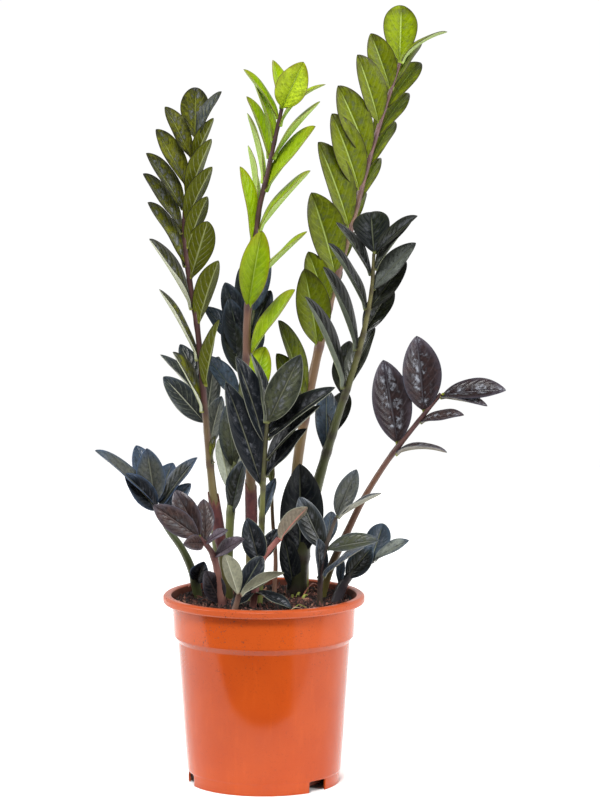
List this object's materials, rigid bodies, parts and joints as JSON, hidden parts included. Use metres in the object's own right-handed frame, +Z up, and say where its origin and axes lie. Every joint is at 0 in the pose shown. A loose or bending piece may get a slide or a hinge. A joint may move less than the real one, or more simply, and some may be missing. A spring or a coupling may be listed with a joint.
{
  "type": "potted zz plant",
  "caption": "Dark-leaved ZZ plant with young bright green fronds, arching stems of glossy leaflets, in a round tapered terracotta-coloured nursery pot with a rolled rim.",
  "frame": {"origin": "middle of the flat pad under the pot, on the floor that the pot stands on", "axes": "+Z up along the pot's axis; the viewer of the reference picture stands on the -Y side with +X to the right"},
  "size_m": [0.423, 0.2365, 0.8066],
  "materials": {
    "pot": "satin",
    "soil": "matte",
    "olive_leaf": "satin",
    "lime_leaf": "satin",
    "green_leaf": "satin",
    "dark_leaf": "satin",
    "purple_leaf": "satin",
    "grey_leaf": "satin",
    "navy_leaf": "satin",
    "bronze_leaf": "satin",
    "pale_leaf": "satin",
    "young_shoot": "satin"
  },
  "bodies": {
    "root": {"pot": "pot", "soil": "soil", "frond_tall_left": "olive_leaf", "frond_tall_centre": "lime_leaf", "frond_tall_right": "green_leaf", "frond_dark_right": "dark_leaf", "frond_far_right": "purple_leaf", "frond_behind_centre": "dark_leaf", "frond_behind_left": "grey_leaf", "frond_front_centre": "navy_leaf", "frond_far_left": "navy_leaf", "frond_front_left": "bronze_leaf", "frond_low_front": "pale_leaf", "frond_low_centre": "navy_leaf", "young_shoot": "young_shoot", "frond_right_front": "grey_leaf", "frond_right_low": "navy_leaf"}
  },
  "joints": []
}
